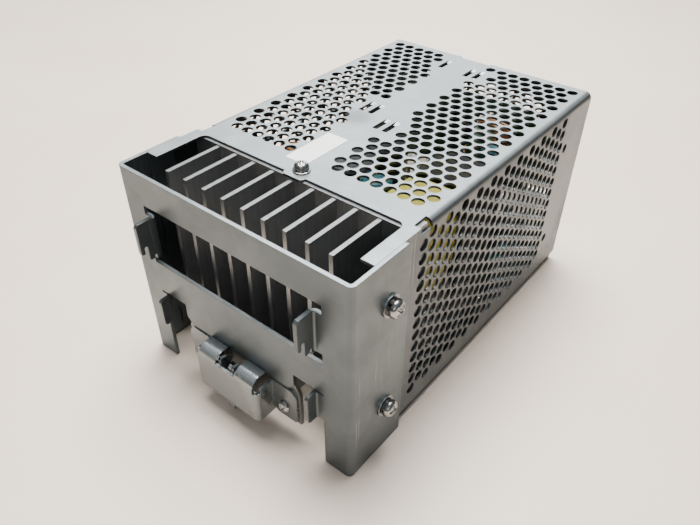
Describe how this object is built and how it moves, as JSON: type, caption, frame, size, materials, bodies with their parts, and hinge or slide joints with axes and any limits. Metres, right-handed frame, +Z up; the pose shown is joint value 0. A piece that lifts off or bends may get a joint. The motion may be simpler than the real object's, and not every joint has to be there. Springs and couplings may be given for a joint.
{
  "type": "din rail power supply",
  "caption": "Rail-mounted power supply with a perforated steel cover, a finned heat sink behind its mount plate, a sprung rail latch and screw terminals.",
  "frame": {"origin": "centre of the whole box in x and y, on the plane of the feet", "axes": "+Z up, +Y out of the mount plate towards the rail, -Y out of the terminal side, X along the rail"},
  "size_m": [0.1226, 0.1842, 0.0976],
  "materials": {
    "bracket_zinc": "zinc-plated steel sheet, satin, cool grey",
    "cover_zinc": "zinc-plated steel sheet, satin, light blue-grey",
    "tray_zinc": "zinc-plated steel sheet, satin",
    "sink_aluminium": "extruded aluminium, plain, sawn fin edges",
    "screw_nickel": "nickel-plated steel, bright",
    "washer_steel": "plated spring steel",
    "latch_zinc": "bright zinc-plated steel",
    "plate_passivated": "steel with a faint yellow-brown cut edge",
    "spring_wire": "drawn spring steel",
    "nut_steel": "plated steel",
    "label_film": "plain white film",
    "board_laminate": "green solder mask over glass laminate",
    "standoff_brass": "turned brass",
    "insulation_film": "dull black film",
    "ferrite": "dark grey fired ferrite",
    "bobbin_plastic": "black moulded plastic",
    "yellow_tape": "yellow polyester tape in layers",
    "choke_base": "dark potting and ferrite",
    "line_core": "coated ring core",
    "output_core": "green coated ring core",
    "enamel_wire": "enamelled copper wire",
    "holder_plastic": "black moulded plastic",
    "dark_sleeve": "dark shrink sleeve over an aluminium can",
    "teal_sleeve": "teal shrink sleeve over an aluminium can",
    "film_yellow": "moulded box",
    "disc_blue": "dipped epoxy",
    "fuse_ceramic": "plain ceramic tube",
    "fuse_metal": "nickel-plated cap",
    "rectifier_epoxy": "moulded epoxy",
    "chip_epoxy": "moulded epoxy",
    "pad_silicone": "grey heat-conducting silicone",
    "clamp_zinc": "zinc-plated steel",
    "spacer_metal": "nickel-plated tube",
    "wire_white": "white insulation",
    "terminal_black": "black glass-filled plastic",
    "terminal_metal": "nickel-plated plate",
    "clear_cover": "clear polycarbonate",
    "trimmer_blue": "blue moulded case",
    "rotor_white": "white moulded rotor",
    "lamp_green": "tinted clear epoxy"
  },
  "bodies": {
    "unit": {"rear_bracket": "bracket_zinc", "housing_cover": "cover_zinc", "base_tray": "tray_zinc", "front_panel": "tray_zinc", "heat_sink": "sink_aluminium", "cover_screw": "screw_nickel", "bracket_screws": "screw_nickel", "bracket_spring_washers": "washer_steel", "bracket_flat_washers": "latch_zinc", "clinch_nuts": "nut_steel", "latch_housing": "latch_zinc", "latch_backing_plate": "plate_passivated", "latch_screws": "screw_nickel", "latch_spring": "spring_wire", "blank_label": "label_film", "main_board": "board_laminate", "board_standoffs": "standoff_brass", "board_screws": "screw_nickel", "insulating_sheet": "insulation_film", "transformer_core": "ferrite", "transformer_bobbin": "bobbin_plastic", "transformer_winding": "yellow_tape", "boost_choke_core": "choke_base", "boost_choke_winding": "yellow_tape", "line_choke_core": "line_core", "line_choke_winding": "enamel_wire", "output_choke_core": "output_core", "output_choke_winding": "enamel_wire", "choke_holders": "holder_plastic", "bulk_capacitors": "dark_sleeve", "output_capacitors": "teal_sleeve", "film_capacitors": "film_yellow", "disc_capacitors": "disc_blue", "fuse_body": "fuse_ceramic", "fuse_caps": "fuse_metal", "bridge_rectifier": "rectifier_epoxy", "power_transistors": "rectifier_epoxy", "thermal_pads": "pad_silicone", "clamp_bar": "clamp_zinc", "clamp_screws": "screw_nickel", "control_board": "board_laminate", "control_board_spacers": "spacer_metal", "control_chips": "chip_epoxy", "signal_wires": "wire_white", "input_terminal_block": "terminal_black", "output_terminal_block": "terminal_black", "terminal_screws": "screw_nickel", "terminal_plates": "terminal_metal", "panel_screws": "screw_nickel", "trimmer_body": "trimmer_blue", "status_lamp": "lamp_green"},
    "latch_slide_body": {"latch_slide": "latch_zinc"},
    "trimmer_rotor_body": {"trimmer_rotor": "rotor_white"},
    "terminal_cover_body": {"terminal_cover": "clear_cover"}
  },
  "joints": [
    {"name": "latch_travel", "type": "slide", "parent": "unit", "child": "latch_slide_body", "axis": [0, 0, -1], "range_m": [0, 0.0023], "stiffness_N_per_m": 800, "springref_m": -0.004, "deforming": ["latch_spring"]},
    {"name": "trimmer_turn", "type": "hinge", "parent": "unit", "child": "trimmer_rotor_body", "pos_m": [0.034, -0.0881, 0.048], "axis": [0, -1, 0], "range_deg": [-135, 135]},
    {"name": "terminal_cover_swing", "type": "hinge", "parent": "unit", "child": "terminal_cover_body", "pos_m": [0, -0.0871, 0.036], "axis": [-1, 0, 0], "range_deg": [0, 90]}
  ]
}
